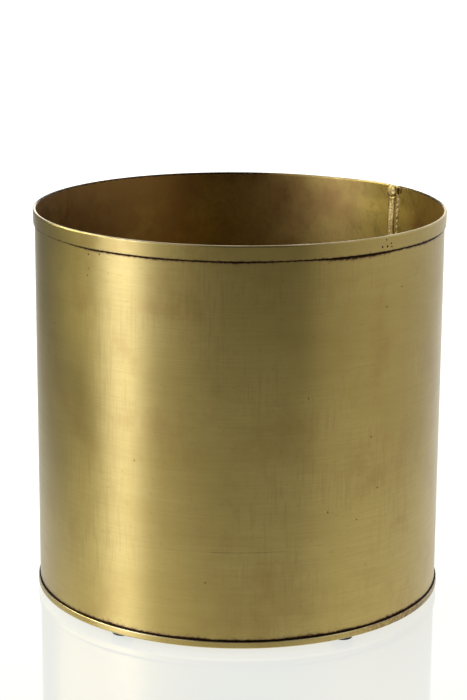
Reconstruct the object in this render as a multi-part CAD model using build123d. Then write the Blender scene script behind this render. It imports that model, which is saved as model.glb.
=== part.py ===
from build123d import *
import os
from math import cos, degrees, radians, sin

# Round brass planter pot.
# A rolled sheet wall with a folded-over rim stands in a shallow round pan and is
# brazed to it from inside. The wall's two ends meet in one brazed lap seam.
# The pot rests on rubber feet stuck to the pan.
# Frame: millimetres, +Z up, origin on the pot's axis in the plane of the feet.
# Angles are in degrees about +Z, measured from +X towards +Y. The front faces -Y.

os.makedirs("parts", exist_ok=True)

# ---- driving dimensions ----

WALL_RADIUS = 150.0        # outer face of the wall
SHEET = 1.0                # wall sheet thickness
POT_HEIGHT = 285.8         # underside of the pan to the crest of the rim

HEM_HEIGHT = 10.8          # crest to the free edge of the folded hem
FOLD_GAP = 0.3             # clear width inside the fold at the crest
HEM_EDGE_GAP = 0.05        # clearance between the wall and the hem's free edge

PAN_RADIUS = 151.5         # outer face of the pan's lip
PAN_SHEET = 1.1            # pan sheet thickness
LIP_HEIGHT = 5.0           # underside of the pan to the top of its lip
PAN_BEND = 1.5             # outer bend radius between the pan's floor and lip

TONGUE_EDGE_ANGLE = 35.0   # cut edge of the inner layer
LAP_STEP_ANGLE = 39.0      # middle of the step that carries the inner layer over the outer one
LAP_STEP_HALF = 0.35       # half of the step's angular width
WALL_EDGE_ANGLE = 38.3     # cut edge of the outer layer, hidden behind the inner one
BRAZE_FILM = 0.05          # braze between the two layers
HEM_END_GAP = 0.1          # gap between the two ends of the hem

BEAD_ANGLE = 37.6          # wide run of braze down the lap
BEAD_WIDTH = 5.2
BEAD_PROUD = 0.9           # how far it stands off the tongue
BEAD_TOP_DROP = 9.0        # crest to the top of the bead

LUMP_ANGLE = 37.8          # lump of braze where the seam meets the rim
LUMP_WIDTH = 7.9
LUMP_HEIGHT = 12.0
LUMP_PROUD = 1.6           # how far it stands off the tongue
LUMP_OVER_CREST = 0.5      # how far it stands above the crest

EDGE_BRAZE_WIDTH = 1.6     # narrow run of braze along the inner layer's cut edge
EDGE_BRAZE_TOP_DROP = 6.0  # crest to the top of that run

CORNER_FILLET = 2.5        # leg of the braze fillet in the inside corner

FOOT_COUNT = 5
FOOT_CIRCLE_RADIUS = 138.5
FRONT_FOOT_GAP = 69.0      # angle between the two front feet, the other feet share the rest evenly
FOOT_TURN = -1.7           # turn of the whole ring of feet
FOOT_DIAMETER = 15.5
FOOT_HEIGHT = 4.2          # floor to the pan, adhesive included
FOOT_EDGE_ROUND = 1.0
FOOT_DRAFT = 0.35          # how much smaller the foot's lower end is, per side
ADHESIVE_DIAMETER = 14.5
ADHESIVE_THICKNESS = 0.3

# ---- worked out from them ----

WALL_INSIDE = WALL_RADIUS - SHEET
PAN_UNDERSIDE = FOOT_HEIGHT
PAN_FLOOR = PAN_UNDERSIDE + PAN_SHEET
CREST = PAN_UNDERSIDE + POT_HEIGHT
FOLD_RADIUS = SHEET + FOLD_GAP / 2
FOLD_CENTRE_R = WALL_INSIDE + FOLD_RADIUS
FOLD_CENTRE_Z = CREST - FOLD_RADIUS
HEM_EDGE = CREST - HEM_HEIGHT
TONGUE_OUTSIDE = WALL_INSIDE - BRAZE_FILM
TONGUE_INSIDE = TONGUE_OUTSIDE - SHEET
STEP_START = LAP_STEP_ANGLE - LAP_STEP_HALF
STEP_END = LAP_STEP_ANGLE + LAP_STEP_HALF
SEAM_START = TONGUE_EDGE_ANGLE - degrees(EDGE_BRAZE_WIDTH / WALL_INSIDE)
SEAM_END = STEP_END + LAP_STEP_HALF
FRONT_ANGLE = -90.0
FULL_TURN = 360.0


def polar(radius, angle, height=0.0):
    """A point at this radius and angle about the pot's axis."""
    return (radius * cos(radians(angle)), radius * sin(radians(angle)), height)


def arc(radius, start, end):
    """An arc about the pot's axis, from one angle to another."""
    return ThreePointArc(polar(radius, start), polar(radius, (start + end) / 2), polar(radius, end))


def ring_sector(inner, outer, start, end, bottom, top):
    """A block between two radii, two angles and two heights."""
    outline = [
        arc(outer, start, end),
        Line(polar(outer, end), polar(inner, end)),
        arc(inner, end, start),
        Line(polar(inner, start), polar(outer, start)),
    ]
    face = make_face(Wire(outline))
    return extrude(Pos(0, 0, bottom) * face, amount=top - bottom, dir=(0, 0, 1))


def turned_between(profile, start, end):
    """A closed profile drawn in the XZ plane, turned about the pot's axis between two angles."""
    face = Rot(0, 0, start) * make_face(Wire(profile))
    return revolve(face, axis=Axis.Z, revolution_arc=end - start)


def corner_arc(centre_x, centre_z, radius, start, end):
    """An arc in the XZ plane, from one angle above +X to another."""
    middle = (start + end) / 2
    points = [
        (centre_x + radius * cos(radians(angle)), 0, centre_z + radius * sin(radians(angle)))
        for angle in (start, middle, end)
    ]
    return ThreePointArc(*points)


# ---- wall ----

def wall_cylinder():
    """The rolled sheet, one end of it stepped inwards as a tongue that laps over the other."""
    wall_edge = WALL_EDGE_ANGLE + FULL_TURN
    outline = [
        arc(WALL_RADIUS, STEP_END, wall_edge),
        Line(polar(WALL_RADIUS, wall_edge), polar(WALL_INSIDE, wall_edge)),
        arc(WALL_INSIDE, wall_edge, STEP_END),
        Line(polar(WALL_INSIDE, STEP_END), polar(TONGUE_INSIDE, STEP_START)),
        arc(TONGUE_INSIDE, STEP_START, TONGUE_EDGE_ANGLE),
        Line(polar(TONGUE_INSIDE, TONGUE_EDGE_ANGLE), polar(TONGUE_OUTSIDE, TONGUE_EDGE_ANGLE)),
        arc(TONGUE_OUTSIDE, TONGUE_EDGE_ANGLE, STEP_START),
        Line(polar(TONGUE_OUTSIDE, STEP_START), polar(WALL_RADIUS, STEP_END)),
    ]
    face = make_face(Wire(outline))
    return extrude(Pos(0, 0, PAN_FLOOR) * face, amount=FOLD_CENTRE_Z - PAN_FLOOR, dir=(0, 0, 1))


def hem_profile(inwards):
    """Section through the fold and the hem that hangs from it, moved inwards by this much."""
    inside = WALL_INSIDE - inwards
    centre = FOLD_CENTRE_R - inwards
    edge_inside = WALL_RADIUS + HEM_EDGE_GAP - inwards
    edge_outside = edge_inside + SHEET
    hem_inside = centre + FOLD_GAP / 2
    hem_outside = centre + FOLD_RADIUS
    root = inside + SHEET
    return [
        corner_arc(centre, FOLD_CENTRE_Z, FOLD_RADIUS, 180, 0),
        Line((hem_outside, 0, FOLD_CENTRE_Z), (edge_outside, 0, HEM_EDGE)),
        Line((edge_outside, 0, HEM_EDGE), (edge_inside, 0, HEM_EDGE)),
        Line((edge_inside, 0, HEM_EDGE), (hem_inside, 0, FOLD_CENTRE_Z)),
        corner_arc(centre, FOLD_CENTRE_Z, FOLD_GAP / 2, 0, 180),
        Line((root, 0, FOLD_CENTRE_Z), (inside, 0, FOLD_CENTRE_Z)),
    ]


def wall_sheet():
    """The whole wall sheet. The outer layer's corner is cut away, so that the hem is single at the lap."""
    between_layers = WALL_INSIDE - BRAZE_FILM / 2
    hem_end = TONGUE_EDGE_ANGLE - HEM_END_GAP
    corner = ring_sector(
        between_layers,
        WALL_RADIUS + SHEET,
        hem_end,
        WALL_EDGE_ANGLE + HEM_END_GAP,
        HEM_EDGE,
        CREST,
    )
    hem = turned_between(hem_profile(0), LAP_STEP_ANGLE, hem_end + FULL_TURN)
    lapped_hem = turned_between(hem_profile(SHEET + BRAZE_FILM), TONGUE_EDGE_ANGLE, LAP_STEP_ANGLE)
    return wall_cylinder() - corner + hem + lapped_hem


# ---- braze ----

def seam_bead():
    """The wide run of braze down the lap, on the tongue's inner face."""
    half_angle = degrees(BEAD_WIDTH / 2 / TONGUE_INSIDE)
    start = BEAD_ANGLE - half_angle
    end = BEAD_ANGLE + half_angle
    crown = polar(TONGUE_INSIDE - BEAD_PROUD, BEAD_ANGLE)
    outline = [
        ThreePointArc(polar(TONGUE_INSIDE, start), crown, polar(TONGUE_INSIDE, end)),
        arc(TONGUE_INSIDE, end, start),
    ]
    face = Pos(0, 0, PAN_FLOOR) * make_face(Wire(outline))
    length = CREST - BEAD_TOP_DROP - PAN_FLOOR
    return extrude(face, amount=length, dir=(0, 0, 1))


def edge_braze():
    """The narrow run of braze in the corner between the tongue's cut edge and the wall."""
    outline = [
        Line(polar(TONGUE_INSIDE, TONGUE_EDGE_ANGLE), polar(WALL_INSIDE, TONGUE_EDGE_ANGLE)),
        arc(WALL_INSIDE, TONGUE_EDGE_ANGLE, SEAM_START),
        Line(polar(WALL_INSIDE, SEAM_START), polar(TONGUE_INSIDE, TONGUE_EDGE_ANGLE)),
    ]
    face = Pos(0, 0, PAN_FLOOR) * make_face(Wire(outline))
    length = CREST - EDGE_BRAZE_TOP_DROP - PAN_FLOOR
    return extrude(face, amount=length, dir=(0, 0, 1))


def rim_lump(sheet, bead):
    """The lump of braze that closes the seam at the rim and stands a little above the crest."""
    half_width = LUMP_WIDTH / 2
    half_height = LUMP_HEIGHT / 2
    middle = CREST + LUMP_OVER_CREST - half_height
    lump = scale(Sphere(1), by=(LUMP_PROUD, half_width, half_height))
    lump = Rot(0, 0, LUMP_ANGLE) * Pos(TONGUE_INSIDE, 0, middle) * lump
    behind_tongue = ring_sector(
        TONGUE_INSIDE + SHEET / 2,
        WALL_RADIUS + LUMP_WIDTH,
        LUMP_ANGLE - LUMP_WIDTH,
        LAP_STEP_ANGLE,
        CREST - LUMP_HEIGHT,
        CREST + SHEET,
    )
    behind_wall = ring_sector(
        WALL_INSIDE + SHEET / 2,
        WALL_RADIUS + LUMP_WIDTH,
        LAP_STEP_ANGLE,
        LUMP_ANGLE + LUMP_WIDTH,
        CREST - LUMP_HEIGHT,
        CREST + SHEET,
    )
    return lump - behind_tongue - behind_wall - sheet - bead


def corner_braze(bead):
    """The braze fillet that joins the wall to the pan, all round the inside corner."""
    inner = WALL_INSIDE - CORNER_FILLET
    top = PAN_FLOOR + CORNER_FILLET
    profile = [
        Line((WALL_INSIDE, 0, PAN_FLOOR), (WALL_INSIDE, 0, top)),
        Line((WALL_INSIDE, 0, top), (inner, 0, PAN_FLOOR)),
        Line((inner, 0, PAN_FLOOR), (WALL_INSIDE, 0, PAN_FLOOR)),
    ]
    seam = ring_sector(TONGUE_INSIDE, WALL_RADIUS, SEAM_START, SEAM_END, PAN_FLOOR, top + SHEET)
    return turned_between(profile, 0, FULL_TURN) - seam - bead


# ---- base pan ----

def base_pan():
    """The shallow round pan: a flat floor and a lip that stands clear of the wall."""
    lip_inside = PAN_RADIUS - PAN_SHEET
    lip_round = PAN_SHEET / 2
    lip_round_z = PAN_UNDERSIDE + LIP_HEIGHT - lip_round
    bend_x = PAN_RADIUS - PAN_BEND
    bend_z = PAN_UNDERSIDE + PAN_BEND
    profile = [
        Line((0, 0, PAN_UNDERSIDE), (bend_x, 0, PAN_UNDERSIDE)),
        corner_arc(bend_x, bend_z, PAN_BEND, -90, 0),
        Line((PAN_RADIUS, 0, bend_z), (PAN_RADIUS, 0, lip_round_z)),
        corner_arc(PAN_RADIUS - lip_round, lip_round_z, lip_round, 0, 180),
        Line((lip_inside, 0, lip_round_z), (lip_inside, 0, bend_z)),
        corner_arc(bend_x, bend_z, PAN_BEND - PAN_SHEET, 0, -90),
        Line((bend_x, 0, PAN_FLOOR), (0, 0, PAN_FLOOR)),
        Line((0, 0, PAN_FLOOR), (0, 0, PAN_UNDERSIDE)),
    ]
    return turned_between(profile, 0, FULL_TURN)


# ---- feet ----

def foot_places():
    """Where each foot's centre stands, one number and one placement at a time."""
    first = FRONT_ANGLE + FOOT_TURN + FRONT_FOOT_GAP / 2
    spacing = (FULL_TURN - FRONT_FOOT_GAP) / (FOOT_COUNT - 1)
    for index in range(FOOT_COUNT):
        yield index + 1, Pos(*polar(FOOT_CIRCLE_RADIUS, first + spacing * index))


def rubber_foot():
    """A round rubber foot, a little narrower where it meets the floor."""
    height = FOOT_HEIGHT - ADHESIVE_THICKNESS
    top_radius = FOOT_DIAMETER / 2
    foot = Pos(0, 0, height / 2) * Cone(top_radius - FOOT_DRAFT, top_radius, height)
    return fillet(foot.edges().group_by(Axis.Z)[0], FOOT_EDGE_ROUND)


def adhesive_disc():
    """The thin round of adhesive between a foot and the pan."""
    middle = FOOT_HEIGHT - ADHESIVE_THICKNESS / 2
    return Pos(0, 0, middle) * Cylinder(ADHESIVE_DIAMETER / 2, ADHESIVE_THICKNESS)


# ---- the pieces, one file each ----

wall = wall_sheet()
bead = seam_bead()
export_step(wall, "parts/wall_sheet.step")
export_step(bead, "parts/seam_bead.step")
export_step(edge_braze(), "parts/edge_braze.step")
export_step(rim_lump(wall, bead), "parts/rim_lump.step")
export_step(corner_braze(bead), "parts/corner_braze.step")
export_step(base_pan(), "parts/base_pan.step")

for number, place in foot_places():
    export_step(place * rubber_foot(), f"parts/foot_{number}.step")
    export_step(place * adhesive_disc(), f"parts/foot_adhesive_{number}.step")
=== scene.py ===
import bmesh
import bpy
from math import atan2, cos, degrees, exp, pi, radians, sin, sqrt
from mathutils import Matrix, Vector, noise


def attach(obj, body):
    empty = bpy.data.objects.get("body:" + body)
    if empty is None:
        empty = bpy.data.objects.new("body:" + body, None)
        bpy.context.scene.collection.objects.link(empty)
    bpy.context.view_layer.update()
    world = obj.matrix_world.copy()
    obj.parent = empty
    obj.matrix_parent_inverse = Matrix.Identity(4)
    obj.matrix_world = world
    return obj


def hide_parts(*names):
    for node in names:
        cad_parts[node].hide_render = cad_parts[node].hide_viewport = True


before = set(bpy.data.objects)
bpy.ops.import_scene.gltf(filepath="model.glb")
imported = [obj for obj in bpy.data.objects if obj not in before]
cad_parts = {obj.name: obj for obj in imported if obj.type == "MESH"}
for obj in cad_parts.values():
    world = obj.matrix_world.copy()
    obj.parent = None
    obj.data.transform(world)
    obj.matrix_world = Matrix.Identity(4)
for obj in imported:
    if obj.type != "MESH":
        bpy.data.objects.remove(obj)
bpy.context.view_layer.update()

# Round brass planter pot. Lengths below are in millimetres and angles in degrees about +Z,
# from +X towards +Y. The front faces -Y. Meshes are turned into metres as they are made.

MM = 0.001

# ---- the sheet ----
R = 150.0                # outer face of the wall
SHEET = 1.0
HALF = SHEET / 2
FLOOR_Z = 5.3            # top face of the pan's floor
CREST = 290.0
FOLD_GAP = 0.3
FOLD_R = SHEET + FOLD_GAP / 2
FOLD_X = R - SHEET + FOLD_R
FOLD_Z = CREST - FOLD_R
HEM_EDGE = CREST - 10.8
HEM_LEAN = 0.25          # how much the hem closes in towards its free edge
HEM_ROWS = 44            # rows of the mesh down the hem
FOLD_STEPS = 12          # and round the fold

# ---- the lap seam ----
TONGUE_EDGE = 35.0       # cut edge of the inner layer
STEP_START = 38.65       # the step that carries the inner layer over the outer one
STEP_END = 39.35
WALL_EDGE = 38.3         # cut edge of the outer layer
STEP_IN = 1.05
HEM_END = 34.94          # end of the hem on the other side of the seam
BULGE_RISE = 0.45        # how far the rim bulges upwards on both sides of the seam
BULGE_OUT = 0.8          # how far it bulges outwards
BULGE_FADE = 27.0        # angle over which the bulge fades away
BULGE_FULL = 8.0         # angle from the tongue's edge over which the bulge stays whole
BULGE_DROP = 18.0        # how far below the hem the bulge starts

# ---- the pan ----
PAN_R = 151.46           # outer face of the lip
PAN_SHEET = 1.1
PAN_Z = 4.2              # underside of the pan, above the floor that the feet stand on
LIP_TOP = 9.2
PAN_BEND = 1.2           # outer radius of the bend between the pan's floor and its lip
LIP_LEAN = 0.10          # how much the lip closes in towards its top


# ================= mesh tools =================

def smoothstep(a, b, x):
    t = min(max((x - a) / (b - a), 0.0), 1.0)
    return t * t * (3 - 2 * t)


def polar(radius, angle, height):
    a = radians(angle)
    return Vector((radius * cos(a), radius * sin(a), height))


DOUBLED = 0.0005         # points closer than this are one point
EMPTY = 0.0002           # edges shorter than this are dropped


def clean(mesh):
    """Merges doubled points, drops empty faces and turns every face outwards."""
    work = bmesh.new()
    work.from_mesh(mesh)
    bmesh.ops.remove_doubles(work, verts=work.verts, dist=DOUBLED * MM)
    bmesh.ops.dissolve_degenerate(work, edges=work.edges, dist=EMPTY * MM)
    bmesh.ops.recalc_face_normals(work, faces=work.faces)
    work.to_mesh(mesh)
    work.free()


def mesh_object(name, points, faces, body_slot, node, smooth_angle=40, **fields):
    """Makes a piece of the pot. Points are in millimetres, and each field has one number for each."""
    mesh = bpy.data.meshes.new(name)
    mesh.from_pydata([p * MM for p in points], [], faces)
    for field_name, values in fields.items():
        field = mesh.attributes.new(field_name, "FLOAT", "POINT")
        field.data.foreach_set("value", values)
    clean(mesh)
    for polygon in mesh.polygons:
        polygon.use_smooth = True
    mesh.set_sharp_from_angle(angle=radians(smooth_angle))
    piece = bpy.data.objects.new(name, mesh)
    bpy.context.scene.collection.objects.link(piece)
    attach(piece, "root")
    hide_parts(node)
    return piece


def strip_shell(angles, sides, wrap):
    """Closed shell of a bent sheet. sides(angle) gives both faces, as equal lists of (radius, height)."""
    points, faces = [], []
    for angle in angles:
        face_a, face_b = sides(angle)
        points.extend(polar(r, angle, z) for r, z in face_a)
        points.extend(polar(r, angle, z) for r, z in reversed(face_b))
    count = len(angles)
    n = len(points) // count
    half = n // 2
    for i in range(count if wrap else count - 1):
        a, b = i * n, ((i + 1) % count) * n
        for j in range(n):
            k = (j + 1) % n
            faces.append((a + j, a + k, b + k, b + j))
    if not wrap:
        last = (count - 1) * n
        for j in range(half - 1):
            faces.append((n - 1 - j, n - 2 - j, j + 1, j))
            faces.append((last + j, last + j + 1, last + n - 2 - j, last + n - 1 - j))
    return points, faces


def joined(*shells):
    """Several shells as one list of points and one of faces."""
    points, faces = [], []
    for shell_points, shell_faces in shells:
        base = len(points)
        points.extend(shell_points)
        faces.extend(tuple(base + i for i in face) for face in shell_faces)
    return points, faces


def spread(start, end, step):
    """Numbers from start to end, about this far apart, both ends included."""
    count = max(1, round((end - start) / step))
    return [start + (end - start) * i / count for i in range(count + 1)]


def chain(*runs):
    """Runs of numbers put end to end, without the repeats where they meet."""
    out = []
    for run in runs:
        out.extend(run if not out else run[1:])
    return out


SEED_STEP = 17.3         # distance in the noise between one seed and the next


def rough(angle, z, size, seed):
    """Smooth noise on the pot's wall, from -1 to 1, with features about this many mm across."""
    a = radians(angle)
    return noise.noise(Vector((R * cos(a) / size, R * sin(a) / size, z / size + SEED_STEP * seed)))


def wobble(angle, z):
    """How far the hand-rolled wall strays from a true cylinder."""
    grip = smoothstep(0, 40, z) * 0.6 + 0.4
    return 0.10 * grip * rough(angle, z, 95.0, 1) + 0.025 * rough(angle, z, 30.0, 2)


def bulge(angle, z):
    """How far the wall bulges near the seam and the rim, from 0 to 1. The angle runs on past 360."""
    before = smoothstep(360 + HEM_END - BULGE_FADE, 360 + HEM_END, angle)
    after = smoothstep(TONGUE_EDGE + BULGE_FADE, TONGUE_EDGE + BULGE_FULL, angle)
    return max(before, after) * smoothstep(HEM_EDGE - BULGE_DROP, HEM_EDGE, z)


# ================= wall and rim =================

# small pits in the hem, as angle, depth below the crest and radius
PINHOLES = [
    (310.0, 7.2, 0.75), (311.8, 7.4, 0.8), (313.2, 5.6, 0.55), (313.4, 8.0, 0.55), (311.4, 2.7, 0.5),
]
PINHOLE_DEPTH = 0.7


def pinhole_distances(angle, z):
    """Squared distance from this place to each small pit, in the pit's own radii."""
    for hole_angle, drop, radius in PINHOLES:
        across = radians(angle - hole_angle) * R
        down = z - (CREST - drop)
        yield (across * across + down * down) / (radius * radius)


def pinhole_depth(angle, z):
    """How deep the small pits in the hem are at this place."""
    depth = 0.0
    for d2 in pinhole_distances(angle, z):
        depth += PINHOLE_DEPTH * exp(-2.2 * d2 * d2)
    return depth


def sheet_path(hem_edge):
    """Middle line of the sheet from the bottom of the wall, over the fold, to the hem's free edge."""
    wall_rows = chain(
        [FLOOR_Z + 0.02, FLOOR_Z + 0.08, FLOOR_Z + 0.25],
        spread(FLOOR_Z + 0.25, 14, 0.5),
        spread(14, HEM_EDGE - 12, 6.0),
        spread(HEM_EDGE - 12, HEM_EDGE - 4, 1.0),
        spread(HEM_EDGE - 4, HEM_EDGE + 1, 0.3),
        spread(HEM_EDGE + 1, FOLD_Z, 0.9),
    )
    path = [(R - HALF, z, 1.0, 0.0) for z in wall_rows]
    middle = FOLD_R - HALF
    for step in range(1, FOLD_STEPS + 1):
        a = pi - pi * step / FOLD_STEPS
        path.append((FOLD_X + middle * cos(a), FOLD_Z + middle * sin(a), -cos(a), -sin(a)))
    for step in range(1, HEM_ROWS + 1):
        z = FOLD_Z + (hem_edge - FOLD_Z) * step / HEM_ROWS
        lean = HEM_LEAN * (FOLD_Z - z) / (FOLD_Z - HEM_EDGE)
        path.append((FOLD_X + middle - lean, z, -1.0, 0.0))
    return path


def edge_half(distance):
    """Half thickness of the sheet this far from a rubbed-down edge."""
    if distance >= HALF:
        return HALF
    t = (HALF - max(distance, 0.0)) / HALF
    return HALF * sqrt(max(1 - t * t, 0.0004))


def wall_sides(angle):
    """Both faces of the wall and hem at this angle. The lap's inner layer is stepped inwards."""
    inwards = STEP_IN * (1 - smoothstep(STEP_START, STEP_END, angle))
    edge = HEM_EDGE + 0.22 * rough(angle, 0, 24.0, 3) + 0.10 * rough(angle, 0, 7.0, 4)
    inner, outer = [], []
    for r, z, nr, nz in sheet_path(edge):
        stray = wobble(angle, z)
        half = HALF
        dip = 0.0
        if nr < 0 and nz == 0.0:
            half = edge_half(z - edge)
            stray += 0.05 * rough(angle, z, 12.0, 5)
            dip = pinhole_depth(angle % 360.0, z)
        if z < FLOOR_Z + HALF:
            half = edge_half(z - FLOOR_Z)
        bulged = bulge(angle, z)
        z += BULGE_RISE * bulged
        centre = r - inwards + stray + BULGE_OUT * bulged
        inner.append((centre - nr * half - dip, z - nz * half))
        outer.append((centre + nr * half, z + nz * half))
    return inner, outer


def flap_sides(angle):
    """The outer layer of the lap, which stops below the hem."""
    rows = chain(
        [FLOOR_Z + 0.02, FLOOR_Z + 0.25],
        spread(FLOOR_Z + 0.25, HEM_EDGE - 18, 6.0),
        spread(HEM_EDGE - 18, HEM_EDGE - 0.3, 1.5),
        [HEM_EDGE - 0.3, HEM_EDGE - 0.02],
    )
    half = edge_half((WALL_EDGE + 360 - angle) * radians(1) * R)
    middles = [R - HALF + wobble(angle, z) + BULGE_OUT * bulge(angle, z) for z in rows]
    inner = [(middle - half, z) for middle, z in zip(middles, rows)]
    outer = [(middle + half, z) for middle, z in zip(middles, rows)]
    return inner, outer


wall_angles = chain(
    spread(TONGUE_EDGE, 40.0, 0.1),
    spread(40.0, 308.5, 0.5),
    spread(308.5, 314.5, 0.08),
    spread(314.5, 360 + HEM_END, 0.5),
)
wall_shell = strip_shell(wall_angles, wall_sides, wrap=False)
flap_shell = strip_shell(spread(360 + HEM_END, 360 + WALL_EDGE, 0.1), flap_sides, wrap=False)


def bell(x, middle, width):
    """1 at the middle, fading to 0 on both sides."""
    return exp(-((x - middle) / width) ** 2)


HEM_PATINA_AND_SHADE = 1.75          # how far tarnish and painted shade reach down from the hem's free edge
LIP_PATINA_AND_SHADE = 1.45          # and up from the lip


def wall_grime(point):
    """How dark this place is made, from 0 in the open to 1 in a crevice: tarnish with painted shade."""
    angle = degrees(atan2(point.y, point.x)) % 360.0
    unrolled = angle if angle > TONGUE_EDGE - 0.03 else angle + 360
    radius = sqrt(point.x ** 2 + point.y ** 2) - BULGE_OUT * bulge(unrolled, point.z)
    z = point.z - BULGE_RISE * bulge(unrolled, point.z)
    heavy = 0.70 + 0.5 * rough(angle, 0, 40.0, 20)
    heavy += 0.45 * bell(angle, 302.0, 13.0) + 0.30 * bell(angle, 325.0, 11.0)
    heavy *= 1 - 0.75 * smoothstep(228, 214, angle) * smoothstep(190, 205, angle)
    # The crest is made darker at the back left and just past the seam.
    darker_crest_span = max(smoothstep(62, 42, abs(angle - 130)), 0.92 * smoothstep(354, 368, unrolled))
    crest_darkening = 0.55 * darker_crest_span * smoothstep(CREST - 2.2, CREST - 1.2, z)
    # Outside: tarnish with painted shade in the dark line under the hem's edge, in the gap above the pan's
    # lip and in the small pits.
    if radius > R - HALF:
        if z < HEM_EDGE + 0.1:
            reach = max(HEM_PATINA_AND_SHADE * heavy, 0.2)
            by_hem = exp(-(max(HEM_EDGE - z, 0.0) / reach) ** 1.5)
        else:
            by_hem = 0.80 * exp(-(z - HEM_EDGE) / 0.55)
        reach = LIP_PATINA_AND_SHADE * (0.8 + 0.5 * rough(angle, 0, 25.0, 21))
        over_lip = exp(-max(z - LIP_TOP - 0.5, 0.0) / reach)
        holes = max(exp(-1.3 * d2) for d2 in pinhole_distances(angle, z))
        return max(by_hem, over_lip, holes, crest_darkening)
    # Inside: tarnish with painted shade in the seam's grooves.
    seam = max(
        0.95 * bell(angle, 39.15, 0.16),
        0.55 * bell(angle, 36.05, 0.28),
        0.35 * bell(angle, 34.15, 0.16),
    )
    # Darker towards the inside floor.
    corner_darkening = exp(-max(z - FLOOR_Z - 2.0, 0.0) / 3.0)
    return max(seam, corner_darkening, crest_darkening)


def rubbed_and_highlit(point, crest):
    """How much this place near a top edge is rubbed pale and carries a painted highlight, from 0 to 1."""
    angle = degrees(atan2(point.y, point.x)) % 360.0
    # Real rubbing plus a painted highlight, strongest on the far crest past the seam and on the front half
    # of the crest.
    by_seam = smoothstep(TONGUE_EDGE - 0.1, TONGUE_EDGE + 0.1, angle) * smoothstep(95, 62, angle)
    in_front = smoothstep(165, 190, angle) * smoothstep(355, 300, angle)
    rubbing_and_highlight = (0.1 + 0.9 * max(by_seam, in_front)) * (0.75 + 0.5 * rough(angle, 0, 14.0, 22))
    return rubbing_and_highlight * smoothstep(crest - 0.8, crest - 0.1, point.z)


FACES_INWARDS = -0.8     # a face turned at least this far inwards belongs to the wall's inside

wall_points, wall_faces = joined(wall_shell, flap_shell)
wall = mesh_object(
    "brass_wall",
    wall_points,
    wall_faces,
    "antique_brass",
    "wall_sheet",
    50,
    grime=[wall_grime(point) for point in wall_points],
    wear=[rubbed_and_highlit(point, CREST) for point in wall_points],
)
for polygon in wall.data.polygons:
    outwards = Vector((polygon.center.x, polygon.center.y, 0)).normalized()
    if polygon.normal.dot(outwards) < FACES_INWARDS:
        polygon.material_index = 1


# ================= pan =================

FLAT_RIM = 128.0         # the pan's floor is true outside this radius and a little uneven inside it


def pan_sides(angle):
    """Both faces of the pan's bend and lip at this angle, from its flat floor outwards."""
    sag = 0.05 * rough(angle, 0, 60.0, 6)
    bend_x = PAN_R - PAN_BEND
    bend_z = PAN_Z + PAN_BEND
    top = LIP_TOP - 0.05 + 0.05 * rough(angle, 0, 20.0, 7)
    lip_r = PAN_SHEET / 2
    under, over = [], []
    for radius in (FLAT_RIM, 134.0, 140.0, 146.0, bend_x):
        under.append((radius, PAN_Z))
        over.append((radius, PAN_Z + PAN_SHEET))
    for step in range(1, 9):
        a = -pi / 2 + pi / 2 * step / 8
        under.append((bend_x + PAN_BEND * cos(a), bend_z + PAN_BEND * sin(a)))
        inner = PAN_BEND - PAN_SHEET
        over.append((bend_x + inner * cos(a), bend_z + inner * sin(a)))
    rise = top - lip_r - bend_z
    for step in range(1, 8):
        z = bend_z + rise * step / 7
        lean = (LIP_LEAN + sag) * step / 7
        under.append((PAN_R - lean, z))
        over.append((PAN_R - PAN_SHEET - lean, z))
    lean = LIP_LEAN + sag
    for step in range(1, 7):
        a = pi / 2 * step / 6 * 0.97
        across = lip_r * cos(a)
        under.append((PAN_R - lip_r - lean + across, top - lip_r + lip_r * sin(a)))
        over.append((PAN_R - lip_r - lean - across, top - lip_r + lip_r * sin(a)))
    return under, over


def pan_shell():
    """The whole pan: the turned bend and lip, and a floor of slightly uneven metal."""
    angles = spread(0.0, 359.5, 0.5)
    points, faces = [], []
    rings = []
    floor_radii = [118.0, 104.0, 88.0, 70.0, 52.0, 34.0, 16.0, 5.0]
    centre_lift = 0.12
    for angle in angles:
        under, over = pan_sides(angle)
        ring = under + list(reversed(over))
        for radius in floor_radii:
            ring.append((radius, PAN_Z + PAN_SHEET))
        for radius in reversed(floor_radii):
            ring.append((radius, PAN_Z))
        rings.append(ring)
    n = len(rings[0])
    for angle, ring in zip(angles, rings):
        for r, z in ring:
            lift = 0.22 * (0.5 + 0.5 * noise.noise(polar(r / 45.0, angle, 3.1)))
            points.append(polar(r, angle, z + smoothstep(FLAT_RIM, 90.0, r) * lift))
    count = len(angles)
    inner_top = n - len(floor_radii) - 1
    for i in range(count):
        a, b = i * n, ((i + 1) % count) * n
        for j in range(n):
            if j == inner_top:
                continue
            k = (j + 1) % n
            faces.append((a + j, a + k, b + k, b + j))
    top_centre = len(points)
    points.append(Vector((0, 0, PAN_Z + PAN_SHEET + centre_lift)))
    points.append(Vector((0, 0, PAN_Z + centre_lift)))
    for i in range(count):
        a, b = i * n, ((i + 1) % count) * n
        faces.append((a + inner_top, top_centre, b + inner_top))
        faces.append((a + inner_top + 1, b + inner_top + 1, top_centre + 1))
    return points, faces


def pan_wear(point):
    """The lip's outer corner is rubbed and carries a painted highlight, and the bend underneath carries a
    painted reflection of the floor.
    """
    radius = sqrt(point.x ** 2 + point.y ** 2)
    if radius < PAN_R - PAN_BEND:
        return 0.0
    on_corner = rubbed_and_highlit(point, LIP_TOP) if radius > PAN_R - PAN_SHEET * 0.6 else 0.0
    return max(on_corner, smoothstep(PAN_Z + 0.9, PAN_Z + 0.3, point.z))


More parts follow.
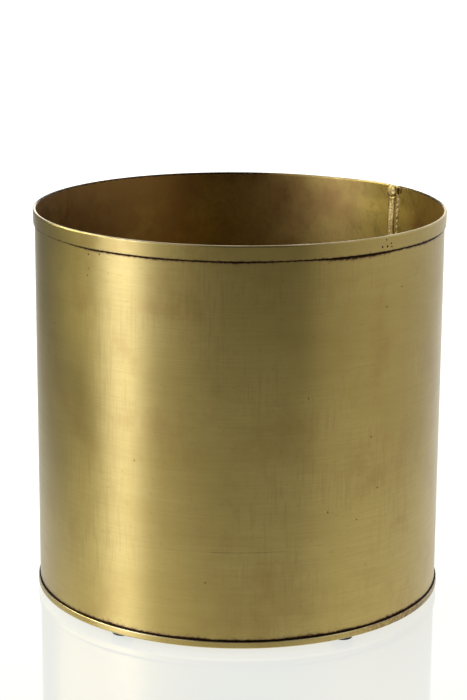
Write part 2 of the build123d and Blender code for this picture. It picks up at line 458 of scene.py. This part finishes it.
def pan_grime(point):
    """Tarnish with painted shade in the gap between the lip and the wall, and a browner lip on the right
    that is painted shade.
    """
    radius = sqrt(point.x ** 2 + point.y ** 2)
    angle = degrees(atan2(point.y, point.x))
    # Painted shade: the lip is browner and darker on the front right.
    browned_and_shaded = 0.33 * smoothstep(-70, -38, angle) * smoothstep(20, 5, angle) if radius > R else 0.0
    if point.z < PAN_Z + PAN_SHEET * 0.9 or radius < R:
        return browned_and_shaded
    # Painted shade with tarnish in the gap between the lip and the wall.
    return max(browned_and_shaded, smoothstep(PAN_R - 0.45, PAN_R - 0.75, radius))


pan_points, pan_faces = pan_shell()
pan = mesh_object(
    "brass_pan",
    pan_points,
    pan_faces,
    "antique_brass",
    "base_pan",
    50,
    grime=[pan_grime(point) for point in pan_points],
    wear=[pan_wear(point) for point in pan_points],
)


# ================= braze =================

def ridge(rows, section, columns):
    """A closed run of braze. section(u, z) gives radius and angle across it, for u from 0 to 1."""
    points, faces = [], []
    n = columns + 1
    for z in rows:
        line = [section(j / columns, z) for j in range(n)]
        points.extend(polar(r, angle, z) for r, angle in line)
        for _, angle in reversed(line):
            points.append(polar(section_back(angle) + BULGE_OUT * bulge(angle, z), angle, z))
    m = 2 * n
    for i in range(len(rows) - 1):
        a, b = i * m, (i + 1) * m
        for j in range(m):
            k = (j + 1) % m
            faces.append((a + j, b + j, b + k, a + k))
    last = (len(rows) - 1) * m
    for j in range(n - 1):
        faces.append((j, j + 1, m - 2 - j, m - 1 - j))
        faces.append((last + m - 1 - j, last + m - 2 - j, last + j + 1, last + j))
    return points, faces


SUNK = 0.35              # how far a run of braze reaches into the metal behind it


def section_back(angle):
    """Radius just inside the metal behind the braze: the outer layer up to the tongue, then the tongue."""
    if angle < TONGUE_EDGE + 0.1:
        return R - SHEET + SUNK
    return R - SHEET - STEP_IN * (1 - smoothstep(STEP_START, STEP_END, angle)) + SUNK


FILM = 0.03              # braze that wets the metal where a run fades out
THINNEST = 0.02          # no part of a run is thinner than this

BEAD_ANGLE = 37.50
BEAD_WIDTH = 2.5         # an angle
BEAD_HEIGHT = 0.80
BEAD_TOP = CREST - 7.6
PIT_PITCH = 2.3          # from one small pit in the wide run to the next


def bead_section(u, z):
    """The wide run: a low double ridge with a row of small pits down its middle."""
    angle = BEAD_ANGLE + (u - 0.5) * BEAD_WIDTH
    angle += 0.08 * rough(37.6, z, 11.0, 8) + 0.04 * rough(u * 7, z, 3.0, 9)
    swell = 1 + 0.12 * rough(37.6, z, 9.0, 10) + 0.10 * rough(u * 9, z, 3.0, 11)
    across = 2 * u - 1
    height = BEAD_HEIGHT * swell * (1 - abs(across) ** 5)
    pit = bell(across, 0.1 * rough(1, z, 5.0, 12), 0.16) * (0.5 + 0.5 * cos(2 * pi * z / PIT_PITCH)) ** 2
    height -= 0.30 * pit
    height -= 0.10 * bell(across, 0, 0.2)
    end = smoothstep(BEAD_TOP, BEAD_TOP - 1.6, z) * smoothstep(FLOOR_Z - 0.5, FLOOR_Z + 1.0, z)
    face_r = R - SHEET - STEP_IN - FILM + BULGE_OUT * bulge(angle, z)
    return face_r - max(height, THINNEST) * end, angle


EDGE_RUN_WIDTH = 0.62    # an angle
EDGE_RUN_TOP = CREST - 6.2
RUN_STEP = 0.5           # height from one row of a run's mesh to the next


def edge_section(u, z):
    """The thin run along the tongue's cut edge, with slight beads."""
    width = EDGE_RUN_WIDTH * (1 + 0.18 * rough(35.0, z, 6.0, 13))
    angle = TONGUE_EDGE + 0.06 - u * width
    swell = 1 + 0.22 * rough(34.0, z, 4.5, 14) + 0.12 * cos(2 * pi * z / 4.1 + 2 * rough(34, z, 20, 15))
    height = STEP_IN * (1 - u ** 1.7) * min(swell, 1.25)
    return R - SHEET - max(height, THINNEST) + BULGE_OUT * bulge(angle, z), angle


bead_shell = ridge(spread(FLOOR_Z + 0.05, BEAD_TOP, RUN_STEP), bead_section, 24)
bead = mesh_object("braze_bead", *bead_shell, "braze", "seam_bead")
edge_run_shell = ridge(spread(FLOOR_Z + 0.05, EDGE_RUN_TOP, RUN_STEP), edge_section, 8)
edge_run = mesh_object("braze_edge_run", *edge_run_shell, "braze", "edge_braze")


FILLET_LEG = 2.2


def corner_sides(angle):
    """Section of the braze in the corner of the wall and the pan: a hollow, lumpy fillet."""
    leg = FILLET_LEG * (1 + 0.12 * rough(angle, 0, 9.0, 16) + 0.08 * rough(angle, 0, 3.5, 17))
    wall_r = R - SHEET + wobble(angle, FLOOR_Z) + 0.2
    top, under = [], []
    for step in range(0, 9):
        t = step / 8
        hollow = 0.16 * sin(pi * t)
        bump = 0.10 * rough(angle, t * 5, 3.0, 18) * sin(pi * t)
        r = wall_r - leg * t + hollow * leg * 0.5 - bump
        z = FLOOR_Z + leg * (1 - t) - hollow * leg * 0.5 + bump + 0.01
        top.append((r, z))
        under.append((max(r, wall_r - leg * t), FLOOR_Z - 0.2))
    return under, top


corner_shell = strip_shell(spread(0.0, 359.6, 0.4), corner_sides, wrap=True)
corner = mesh_object("braze_corner", *corner_shell, "braze", "corner_braze", 60)


LUMP_ANGLE = 37.80
LUMP_HALF_WIDTH = 4.8
LUMP_HALF_HEIGHT = 5.9
LUMP_PROUD = 1.5
LUMP_Z = CREST - 5.5


def lump_shell():
    """The lump of braze at the rim: two lobes that merge downwards."""
    rows, columns = 40, 56
    face_r = R - SHEET - STEP_IN + BULGE_OUT
    points, faces = [], []
    for i in range(rows + 1):
        v = pi * i / rows
        for j in range(columns):
            w = 2 * pi * j / columns
            nx, ny, nz = sin(v) * cos(w), sin(v) * sin(w), cos(v)
            across = LUMP_HALF_WIDTH * ny
            height = LUMP_HALF_HEIGHT * nz
            proud = LUMP_PROUD * nx
            gap = bell(across, -0.5, 0.75) * smoothstep(-5.0, 0.5, height)
            proud -= 0.85 * gap * max(nx, 0)
            proud *= smoothstep(-6.6, -0.5, height)
            across *= 1 - 0.22 * smoothstep(0, -5.5, height)
            bump = 1 + 0.14 * noise.noise(Vector((nx * 1.7, ny * 1.7, nz * 2.6 + 5.0)))
            r = min(face_r - proud * bump, face_r + 0.45)
            points.append(polar(r, LUMP_ANGLE + degrees(across * bump / face_r), LUMP_Z + height))
    for i in range(rows):
        a, b = i * columns, (i + 1) * columns
        for j in range(columns):
            k = (j + 1) % columns
            faces.append((a + j, b + j, b + k, a + k))
    return points, faces


ARCH_ANGLE = 34.60
ARCH_R = R - 1.55        # radius of the arch's middle line, before the rim's bulge


def arch_shell():
    """The dark arch of braze round the slit where the hem's two ends meet."""
    half_span, tube, turns = 1.7, 0.62, 14
    spring, foot = CREST - 2.2, CREST - 4.9
    path = []
    for z in spread(foot, spring, 0.5):
        path.append((half_span, z, 0.0, 1.0))
    bend_steps = 14
    for step in range(1, bend_steps):
        a = pi * step / bend_steps
        path.append((half_span * cos(a), spring + half_span * sin(a), -sin(a), cos(a)))
    for z in reversed(spread(foot, spring, 0.5)):
        path.append((-half_span, z, 0.0, -1.0))
    points, faces = [], []
    for index, (across, z, along_across, along_z) in enumerate(path):
        size = tube * (1 + 0.16 * noise.noise(Vector((across, z * 0.6, 4.2))))
        size *= 0.55 + 0.45 * smoothstep(0, 3, min(index, len(path) - 1 - index))
        face_r = ARCH_R + BULGE_OUT - 0.42 * across / half_span
        for turn in range(turns):
            w = 2 * pi * turn / turns
            side = size * cos(w)
            r = face_r - size * 0.8 * sin(w)
            place = across + side * along_z
            points.append(polar(r, ARCH_ANGLE + degrees(place / face_r), z - side * along_across))
    for i in range(len(path) - 1):
        a, b = i * turns, (i + 1) * turns
        for j in range(turns):
            k = (j + 1) % turns
            faces.append((a + j, a + k, b + k, b + j))
    faces.append(tuple(range(turns - 1, -1, -1)))
    last = (len(path) - 1) * turns
    faces.append(tuple(last + j for j in range(turns)))
    return points, faces


lump_part = lump_shell()
lump_points, lump_faces = joined(lump_part, arch_shell())
lump_count = len(lump_part[0])
lump = mesh_object(
    "braze_rim_lump",
    lump_points,
    lump_faces,
    "braze",
    "rim_lump",
    60,
    # The arch is painted dark: burnt braze with painted shade round the slit.
    grime=[0.0] * lump_count + [0.55] * (len(lump_points) - lump_count),
)


# ================= feet =================

FOOT_CIRCLE = 138.5
FRONT_FOOT_GAP = 69.0    # angle between the two front feet
FRONT_OF_FEET = -91.7    # midway between the two front feet
FIRST_FOOT = FRONT_OF_FEET + FRONT_FOOT_GAP / 2
FOOT_SPACING = (360 - FRONT_FOOT_GAP) / 4
FOOT_R = 7.75
FOOT_TOP = 3.9


def turned(profile, centre, columns, uneven):
    """A closed body turned about a vertical line, from a list of (radius, height) off its axis."""
    points, faces = [], []
    for radius, z in profile:
        for j in range(columns):
            a = 2 * pi * j / columns
            bump = noise.noise(Vector((cos(a) * 1.4, sin(a) * 1.4, centre.x * 0.1)))
            r = radius * (1 + uneven * bump)
            points.append(Vector((centre.x + r * cos(a), centre.y + r * sin(a), z)))
    for i in range(len(profile) - 1):
        a, b = i * columns, (i + 1) * columns
        for j in range(columns):
            k = (j + 1) % columns
            faces.append((a + j, a + k, b + k, b + j))
    bottom, top = len(points), len(points) + 1
    points.append(Vector((centre.x, centre.y, profile[0][1])))
    points.append(Vector((centre.x, centre.y, profile[-1][1])))
    last = (len(profile) - 1) * columns
    for j in range(columns):
        k = (j + 1) % columns
        faces.append((bottom, k, j))
        faces.append((top, last + j, last + k))
    return points, faces


def foot_profile():
    """A moulded rubber foot: a shallow dished underside, a rounded edge and a slight draft."""
    profile = [(1.6, 0.28), (3.2, 0.26), (4.4, 0.14), (5.2, 0.02)]
    for step in range(0, 9):
        a = -pi / 2 + pi / 2 * step / 8
        profile.append((6.4 + cos(a), 1.0 + sin(a)))
    profile += [(FOOT_R - 0.24, 2.1), (FOOT_R - 0.12, 3.0), (FOOT_R - 0.04, 3.7), (FOOT_R - 0.12, 3.88)]
    return profile + [(5.0, FOOT_TOP), (2.0, FOOT_TOP)]


def disc_profile():
    """A disc of adhesive film with a slightly squeezed-out edge."""
    rim = [(6.9, 0.0), (7.2, 0.06), (7.23, 0.15), (7.2, 0.24), (6.9, 0.3)]
    return [(3.0, FOOT_TOP)] + [(r, FOOT_TOP + up) for r, up in rim] + [(3.0, PAN_Z)]


foot_pieces = []
disc_pieces = []
for number in range(1, 6):
    place = polar(FOOT_CIRCLE, FIRST_FOOT + FOOT_SPACING * (number - 1), 0)
    foot_shell = turned(foot_profile(), place, 64, 0.0)
    disc_shell = turned(disc_profile(), place, 48, 0.006)
    foot_pieces.append(mesh_object(f"rubber_foot_{number}", *foot_shell, "foot_rubber", f"foot_{number}"))
    disc_pieces.append(mesh_object(f"adhesive_{number}", *disc_shell, "adhesive", f"foot_adhesive_{number}"))


# ================= materials =================

# places of the colour sockets on a mix node
COLOUR_A, COLOUR_B, COLOUR_OUT = 6, 7, 2


class Shader:
    """A node tree with short names for the nodes that the materials use."""

    def __init__(self, name):
        self.material = bpy.data.materials.new(name)
        self.material.use_nodes = True
        self.tree = self.material.node_tree
        self.bsdf = self.tree.nodes["Principled BSDF"]
        self.object_point = self.tree.nodes.new("ShaderNodeTexCoord").outputs["Object"]

    def link(self, source, target):
        self.tree.links.new(source, target)

    def put(self, socket, value):
        if isinstance(value, bpy.types.NodeSocket):
            self.link(value, socket)
        else:
            socket.default_value = value

    def scaled(self, point, scale):
        node = self.tree.nodes.new("ShaderNodeVectorMath")
        node.operation = "MULTIPLY"
        self.put(node.inputs[0], point)
        node.inputs[1].default_value = scale
        return node.outputs["Vector"]

    def noise(self, scale, detail, roughness):
        """Noise from 0 to 1 on the piece's own points. The scale is one number or one for each axis."""
        if not isinstance(scale, tuple):
            scale = (scale, scale, scale)
        node = self.tree.nodes.new("ShaderNodeTexNoise")
        self.link(self.scaled(self.object_point, scale), node.inputs["Vector"])
        node.inputs["Scale"].default_value = 1.0
        node.inputs["Detail"].default_value = detail
        node.inputs["Roughness"].default_value = roughness
        node.inputs["Distortion"].default_value = 0.0
        return node.outputs["Fac"]

    def math(self, operation, a, b=0.0):
        node = self.tree.nodes.new("ShaderNodeMath")
        node.operation = operation
        self.put(node.inputs[0], a)
        self.put(node.inputs[1], b)
        return node.outputs["Value"]

    def ramp(self, value, low, high, to_low=0.0, to_high=1.0, smooth=True):
        """Turns the range from low to high into the range from to_low to to_high, and holds its ends."""
        node = self.tree.nodes.new("ShaderNodeMapRange")
        node.interpolation_type = "SMOOTHSTEP" if smooth else "LINEAR"
        self.put(node.inputs["Value"], value)
        self.put(node.inputs["From Min"], low)
        self.put(node.inputs["From Max"], high)
        self.put(node.inputs["To Min"], to_low)
        self.put(node.inputs["To Max"], to_high)
        return node.outputs["Result"]

    def mix(self, factor, a, b):
        node = self.tree.nodes.new("ShaderNodeMix")
        node.data_type = "RGBA"
        self.put(node.inputs["Factor"], factor)
        self.put(node.inputs[COLOUR_A], a)
        self.put(node.inputs[COLOUR_B], b)
        return node.outputs[COLOUR_OUT]

    def field(self, name):
        node = self.tree.nodes.new("ShaderNodeAttribute")
        node.attribute_name = name
        return node.outputs["Fac"]

    def split(self):
        node = self.tree.nodes.new("ShaderNodeSeparateXYZ")
        self.link(self.object_point, node.inputs[0])
        return node.outputs["X"], node.outputs["Y"], node.outputs["Z"]

    def spot(self, angle, z, size):
        """1 at a place on the wall's outside, given by its angle and height, and 0 away from it."""
        node = self.tree.nodes.new("ShaderNodeVectorMath")
        node.operation = "DISTANCE"
        self.link(self.object_point, node.inputs[0])
        node.inputs[1].default_value = polar(R, angle, z) * MM
        return self.ramp(node.outputs["Value"], 0.3 * size * MM, size * MM, 1.0, 0.0)

    def bump(self, height, distance, strength, below=None):
        node = self.tree.nodes.new("ShaderNodeBump")
        node.inputs["Distance"].default_value = distance
        node.inputs["Strength"].default_value = strength
        self.put(node.inputs["Height"], height)
        if below is not None:
            self.link(below, node.inputs["Normal"])
        return node.outputs["Normal"]

    def brush_round(self, anisotropy):
        """Brushes the metal round the pot's axis."""
        self.bsdf.inputs["Anisotropic"].default_value = anisotropy
        self.bsdf.inputs["Anisotropic Rotation"].default_value = 0.25
        node = self.tree.nodes.new("ShaderNodeTangent")
        node.direction_type = "RADIAL"
        node.axis = "Z"
        self.link(node.outputs["Tangent"], self.bsdf.inputs["Tangent"])

    def finish(self, colour, roughness, normal, metallic=1.0):
        self.link(colour, self.bsdf.inputs["Base Color"])
        self.link(roughness, self.bsdf.inputs["Roughness"])
        self.link(normal, self.bsdf.inputs["Normal"])
        self.bsdf.inputs["Metallic"].default_value = metallic
        return self.material


def rgb(r, g, b):
    return (r, g, b, 1.0)


BRASS_MAIN = rgb(0.42, 0.310, 0.090)
BRASS_PALE = rgb(0.48, 0.366, 0.118)
BRASS_BROWN = rgb(0.36, 0.238, 0.068)
# rubbed brass, also the colour of painted highlights on the crest and the lip
BRASS_WORN_AND_HIGHLIT = rgb(0.86, 0.75, 0.48)
INSIDE_MAIN = rgb(0.49, 0.345, 0.098)
INSIDE_BROWN = rgb(0.345, 0.200, 0.064)
# dark tarnish of pits and specks, also the colour of painted shade in crevices
PATINA_AND_SHADE = rgb(0.040, 0.022, 0.010)
STAIN = rgb(0.19, 0.105, 0.045)
BRAZE_DULL = rgb(0.58, 0.42, 0.155)
BRAZE_BRIGHT = rgb(0.80, 0.61, 0.29)
# burnt braze, also painted shade round the slit under the arch
BRAZE_BURNT_AND_SHADE = rgb(0.15, 0.065, 0.025)
RUBBER = rgb(0.012, 0.011, 0.010)
RUBBER_DUSTY = rgb(0.05, 0.045, 0.04)
FILM_DARK = rgb(0.55, 0.52, 0.45)
FILM_LIGHT = rgb(0.68, 0.66, 0.6)


def stain_mask(s, fringe):
    """The brown fringe round the crevices."""
    ragged = s.math("SUBTRACT", fringe, 0.5)
    return s.ramp(s.math("ADD", s.field("grime"), ragged), 0.06, 0.45, 0.0, 0.75)


def grime_mask(s, fringe):
    """The crevice field, tarnish with painted shade, with a ragged edge."""
    field = s.field("grime")
    ragged = s.math("MULTIPLY", s.math("SUBTRACT", fringe, 0.5), 0.9)
    ragged = s.math("MULTIPLY", ragged, s.ramp(field, 0.05, 0.5))
    return s.ramp(s.math("ADD", field, ragged), 0.28, 0.66)


# small pits and stains on the outside, as angle, height and size
PITS = [
    (-118.5, 135, 0.8), (-71.5, 183, 0.8), (-65.5, 100, 0.9), (-98.5, 52, 0.8), (-41.5, 252, 0.9),
    (-47.5, 240, 0.8), (-52, 149, 0.9), (-56.5, 91, 0.8), (-49.5, 111, 0.9), (-133.5, 275, 1.2),
    (-129.5, 276.5, 1.1), (-133.5, 265, 0.8), (-134, 260, 0.9), (-150, 218, 0.8), (12, 194, 0.9),
    (96, 154, 0.9), (171, 96, 0.8), (60, 76, 0.9),
]


def pit_mask(s):
    """1 in the small pits and stains."""
    mask = 0.0
    for angle, z, size in PITS:
        mask = s.math("MAXIMUM", mask, s.spot(angle, z, size))
    return mask


SCRATCH_Z = 74.5


def scratch_mask(s, broken):
    """One long, fine, nearly level scratch low on the front."""
    x, y, z = s.split()
    level = s.math("SUBTRACT", SCRATCH_Z * MM, s.ramp(x, -78 * MM, -42 * MM, 2.0 * MM, 0.0))
    off = s.math("ABSOLUTE", s.math("SUBTRACT", z, level))
    line = s.ramp(off, 0.05 * MM, 0.42 * MM, 1.0, 0.0)
    ends = s.math("MULTIPLY", s.ramp(x, -74 * MM, -68 * MM), s.ramp(x, 30 * MM, 44 * MM, 1.0, 0.0))
    front = s.math("LESS_THAN", y, 0.0)
    whole = s.math("MULTIPLY", s.math("MULTIPLY", line, ends), front)
    return s.math("MULTIPLY", whole, s.ramp(broken, 0.38, 0.62, 0.10, 0.50))


def outside_brass(name):
    """Fine circular brushing under a thin, cloudy antique tarnish, with painted shade in the crevices and
    painted highlights on the rubbed top edges.
    """
    s = Shader(name)
    cloud = s.noise(8, 4.0, 0.55)
    band = s.noise((4, 4, 30), 4.0, 0.6)
    blot = s.noise((24, 24, 20), 4.0, 0.6)
    streak = s.noise((30, 30, 1100), 3.0, 0.6)
    fine = s.noise((90, 90, 4200), 2.0, 0.5)
    upright = s.noise((620, 620, 45), 2.0, 0.5)
    patches = s.ramp(s.noise(16, 2.0, 0.5), 0.45, 0.65)
    fringe = s.noise((330, 330, 500), 4.0, 0.65)
    tone = s.math("ADD", s.math("MULTIPLY", cloud, 0.6), s.math("MULTIPLY", band, 0.4))
    colour = s.mix(s.ramp(tone, 0.38, 0.62), BRASS_MAIN, BRASS_PALE)
    colour = s.mix(s.ramp(blot, 0.48, 0.72, 0.0, 0.60), colour, BRASS_BROWN)
    colour = s.mix(s.ramp(streak, 0.35, 0.75, 0.0, 0.24), colour, BRASS_BROWN)
    ticks = s.math("MULTIPLY", s.ramp(upright, 0.45, 0.70), patches)
    colour = s.mix(s.math("MULTIPLY", ticks, 0.36), colour, BRASS_BROWN)
    roughness = s.ramp(streak, 0.3, 0.7, 0.36, 0.42, smooth=False)
    roughness = s.math("ADD", roughness, s.ramp(cloud, 0.3, 0.7, -0.03, 0.05))
    # Painted highlight over the rubbed top edges.
    bright = s.math("MULTIPLY", s.field("wear"), s.ramp(fringe, 0.25, 0.55, 0.6, 1.0))
    colour = s.mix(bright, colour, BRASS_WORN_AND_HIGHLIT)
    roughness = s.math("SUBTRACT", roughness, s.math("MULTIPLY", bright, 0.08))
    marks = s.math("MAXIMUM", pit_mask(s), scratch_mask(s, blot))
    # Painted shade in the crevices, with the real pits and scratch.
    dark_patina_and_shade = s.math("MAXIMUM", grime_mask(s, fringe), s.math("MULTIPLY", marks, 0.75))
    colour = s.mix(stain_mask(s, fringe), colour, STAIN)
    colour = s.mix(dark_patina_and_shade, colour, PATINA_AND_SHADE)
    roughness = s.math("ADD", roughness, s.math("MULTIPLY", dark_patina_and_shade, 0.35))
    normal = s.bump(streak, 0.00003, 0.35)
    normal = s.bump(fine, 0.00002, 0.3, normal)
    normal = s.bump(upright, 0.00003, 0.25, normal)
    s.link(s.ramp(dark_patina_and_shade, 0.0, 0.6, 0.35, 0.0), s.bsdf.inputs["Coat Weight"])
    s.bsdf.inputs["Coat Roughness"].default_value = 0.30
    s.brush_round(0.75)
    return s.finish(colour, roughness, normal)


def inside_brass(name):
    """The less brushed inside: duller and mottled, with painted shade making it browner towards the left."""
    s = Shader(name)
    cloud = s.noise(14, 4.0, 0.6)
    mottle = s.noise((150, 150, 110), 4.0, 0.6)
    speck = s.noise(520, 2.0, 0.6)
    fringe = s.noise((500, 500, 260), 4.0, 0.65)
    x, _, _ = s.split()
    # Painted shade: browner and darker towards the left.
    browned_and_shaded = s.math("ADD", cloud, s.ramp(x, -120 * MM, 120 * MM, 0.17, -0.10))
    colour = s.mix(s.ramp(browned_and_shaded, 0.40, 0.62), INSIDE_MAIN, INSIDE_BROWN)
    colour = s.mix(s.ramp(mottle, 0.45, 0.70, 0.0, 0.5), colour, INSIDE_BROWN)
    colour = s.mix(s.ramp(speck, 0.64, 0.76, 0.0, 0.35), colour, PATINA_AND_SHADE)
    dark_patina_and_shade = grime_mask(s, fringe)
    colour = s.mix(dark_patina_and_shade, colour, PATINA_AND_SHADE)
    s.brush_round(0.5)
    roughness = s.ramp(mottle, 0.3, 0.7, 0.36, 0.48, smooth=False)
    return s.finish(colour, roughness, s.bump(mottle, 0.00015, 0.3))


def braze_metal(name):
    """Braze: rougher and paler than the sheet, with dark pits, and the arch painted dark as burnt braze with
    painted shade.
    """
    s = Shader(name)
    lumps = s.noise(420, 4.0, 0.6)
    large = s.noise((90, 90, 60), 3.0, 0.6)
    colour = s.mix(s.ramp(large, 0.35, 0.65), BRAZE_DULL, BRAZE_BRIGHT)
    colour = s.mix(s.ramp(lumps, 0.56, 0.76, 0.0, 0.6), colour, PATINA_AND_SHADE)
    colour = s.mix(grime_mask(s, lumps), colour, BRAZE_BURNT_AND_SHADE)
    return s.finish(colour, s.ramp(lumps, 0.3, 0.7, 0.48, 0.62), s.bump(lumps, 0.0004, 0.6))


def rubber(name):
    """Black rubber with a fine grain and a little dust."""
    s = Shader(name)
    grain = s.noise(1800, 2.0, 0.6)
    dust = s.noise(160, 3.0, 0.6)
    colour = s.mix(s.ramp(dust, 0.45, 0.75), RUBBER, RUBBER_DUSTY)
    return s.finish(colour, s.ramp(grain, 0.3, 0.7, 0.55, 0.8), s.bump(grain, 0.00006, 0.5), metallic=0.0)


def adhesive_film(name):
    """Cloudy, pale film."""
    s = Shader(name)
    cloud = s.noise(300, 3.0, 0.6)
    colour = s.mix(cloud, FILM_DARK, FILM_LIGHT)
    return s.finish(colour, s.ramp(cloud, 0.3, 0.7, 0.4, 0.6), s.bump(cloud, 0.0001, 0.3), metallic=0.0)


wall.data.materials.append(outside_brass("brushed_brass_outside"))
wall.data.materials.append(inside_brass("dull_brass_inside"))
pan.data.materials.append(wall.data.materials[0])
braze = braze_metal("filed_braze")
for piece in (bead, edge_run, corner, lump):
    piece.data.materials.append(braze)
foot_rubber = rubber("moulded_rubber")
film = adhesive_film("acrylic_film")
for piece in foot_pieces:
    piece.data.materials.append(foot_rubber)
for piece in disc_pieces:
    piece.data.materials.append(film)


# ================= stage =================

FLOOR_HALF_SIZE = 9.0
FLOOR_LIGHT = 0.71       # how bright the floor shines beside and behind the pot


def studio_floor():
    """A glossy pale floor that shines, dimmer towards the front and towards both sides."""
    size = FLOOR_HALF_SIZE
    corners = [(-size, -size, 0), (size, -size, 0), (size, size, 0), (-size, size, 0)]
    mesh = bpy.data.meshes.new("studio_floor")
    mesh.from_pydata(corners, [], [(0, 1, 2, 3)])
    piece = bpy.data.objects.new("studio_floor", mesh)
    bpy.context.scene.collection.objects.link(piece)
    s = Shader("glossy_white_floor")
    haze = s.noise(2, 2.0, 0.5)
    s.link(s.mix(haze, rgb(0.20, 0.20, 0.196), rgb(0.22, 0.22, 0.216)), s.bsdf.inputs["Base Color"])
    s.bsdf.inputs["Emission Color"].default_value = rgb(0.98, 1.0, 0.96)
    x, y, _ = s.split()
    sideways = s.math("DIVIDE", x, s.math("MAXIMUM", s.math("ADD", y, 1.9), 0.2))
    left_end = s.ramp(sideways, -0.27, -0.12, 0.12, 1.0)
    right_end = s.ramp(sideways, 0.12, 0.32, 1.0, 0.40)
    ends = s.math("MULTIPLY", left_end, right_end)
    light = s.math("MULTIPLY", s.ramp(y, -1.2, -0.15, 0.04, FLOOR_LIGHT), ends)
    s.link(light, s.bsdf.inputs["Emission Strength"])
    s.bsdf.inputs["Roughness"].default_value = 0.06
    mesh.materials.append(s.material)


studio_floor()


def softbox(name, azimuth, distance, height, width, tall, power, colour):
    """A soft light that faces the pot. The azimuth is from the front, positive to the right."""
    data = bpy.data.lights.new(name, "AREA")
    data.shape = "RECTANGLE"
    data.size = width
    data.size_y = tall
    data.energy = power
    data.color = colour
    light = bpy.data.objects.new(name, data)
    a = radians(azimuth)
    light.location = (distance * sin(a), -distance * cos(a), height)
    aim = Vector((0, 0, height)) - light.location
    light.rotation_euler = aim.to_track_quat("-Z", "Y").to_euler()
    light.visible_camera = False
    bpy.context.scene.collection.objects.link(light)


COOL = (0.94, 1.0, 1.34)
WARM = (0.96, 0.97, 0.64)
softbox("softbox_left", -63.5, 1.7, 0.62, 0.48, 1.3, 7.1, COOL)
softbox("softbox_left_edge", -64.5, 1.75, 0.66, 0.92, 1.5, 7.4, COOL)
softbox("softbox_high_left", -102, 1.7, 1.14, 1.4, 0.8, 21.5, WARM)

# brightness all round the studio, by azimuth from the front, positive to the right
ROOM = [
    (-180, 1.9), (-171, 1.6), (-160, 0.30), (-140, 0.06), (-100, 0.05), (-72, 0.22), (-50, 1.10),
    (-36, 0.74), (-21, 0.18), (-5, 0.02), (33, 0.03), (50, 0.70), (75, 0.97), (130, 0.90), (155, 0.9),
    (180, 1.9),
]
CEILING = 0.45


def studio_world():
    """Bright behind the pot and dim in front of it, under a ceiling that is lit over the pot's back."""
    world = bpy.data.worlds.new("studio")
    world.use_nodes = True
    bpy.context.scene.world = world
    tree = world.node_tree

    def fade(value, low, high, to_low=0.0, to_high=1.0):
        node = tree.nodes.new("ShaderNodeMapRange")
        node.interpolation_type = "SMOOTHSTEP"
        node.inputs["From Min"].default_value = low
        node.inputs["From Max"].default_value = high
        node.inputs["To Min"].default_value = to_low
        node.inputs["To Max"].default_value = to_high
        tree.links.new(value, node.inputs["Value"])
        return node.outputs["Result"]

    def math(operation, a, b):
        node = tree.nodes.new("ShaderNodeMath")
        node.operation = operation
        for socket, value in zip(node.inputs, (a, b)):
            if isinstance(value, bpy.types.NodeSocket):
                tree.links.new(value, socket)
            else:
                socket.default_value = value
        return node.outputs["Value"]

    direction = tree.nodes.new("ShaderNodeTexCoord").outputs["Generated"]
    split = tree.nodes.new("ShaderNodeSeparateXYZ")
    tree.links.new(direction, split.inputs[0])
    x, y, z = split.outputs["X"], split.outputs["Y"], split.outputs["Z"]
    azimuth = math("ARCTAN2", x, math("MULTIPLY", y, -1.0))
    turn = math("DIVIDE", math("ADD", azimuth, pi), 2 * pi)
    ramp = tree.nodes.new("ShaderNodeValToRGB")
    ramp.color_ramp.interpolation = "EASE"
    stops = ramp.color_ramp.elements
    stops.remove(stops[0])
    for index, (angle, light) in enumerate(ROOM):
        stop = stops[0] if index == 0 else stops.new(1.0)
        stop.position = (angle + 180) / 360
        stop.color = rgb(light, light * 0.99, light * 0.97)
    tree.links.new(turn, ramp.inputs["Fac"])
    walls = tree.nodes.new("ShaderNodeVectorMath")
    walls.operation = "SCALE"
    tree.links.new(ramp.outputs["Color"], walls.inputs[0])
    tree.links.new(fade(z, 0.45, 0.95, 1.0, 0.25), walls.inputs["Scale"])
    both = tree.nodes.new("ShaderNodeMix")
    both.data_type = "RGBA"
    overhead = math("MULTIPLY", fade(z, 0.30, 0.70), fade(y, -0.35, 0.20))
    tree.links.new(overhead, both.inputs["Factor"])
    tree.links.new(walls.outputs["Vector"], both.inputs[COLOUR_A])
    both.inputs[COLOUR_B].default_value = rgb(CEILING, CEILING * 0.99, CEILING * 0.96)
    tree.links.new(both.outputs[COLOUR_OUT], tree.nodes["Background"].inputs["Color"])


studio_world()

# ================= camera =================

CAMERA_PLACE = (0.0, -1.4908, 0.5588)
CAMERA_LENS = 106.05
# the camera's turns, in radians
CAMERA_YAW = 0.002685
CAMERA_DOWN = 0.248455   # how far below level it looks
CAMERA_ROLL = 0.00628

camera_data = bpy.data.cameras.new("camera")
camera_data.lens = CAMERA_LENS
camera_data.sensor_width = 36.0
camera_data.sensor_fit = "AUTO"
camera = bpy.data.objects.new("camera", camera_data)
yaw = Matrix.Rotation(CAMERA_YAW, 4, "Z")
pitch = Matrix.Rotation(pi / 2 - CAMERA_DOWN, 4, "X")
roll = Matrix.Rotation(CAMERA_ROLL, 4, "Z")
camera.matrix_world = Matrix.Translation(CAMERA_PLACE) @ yaw @ pitch @ roll
bpy.context.scene.collection.objects.link(camera)
bpy.context.scene.camera = camera
bpy.context.scene.view_settings.view_transform = "Standard"
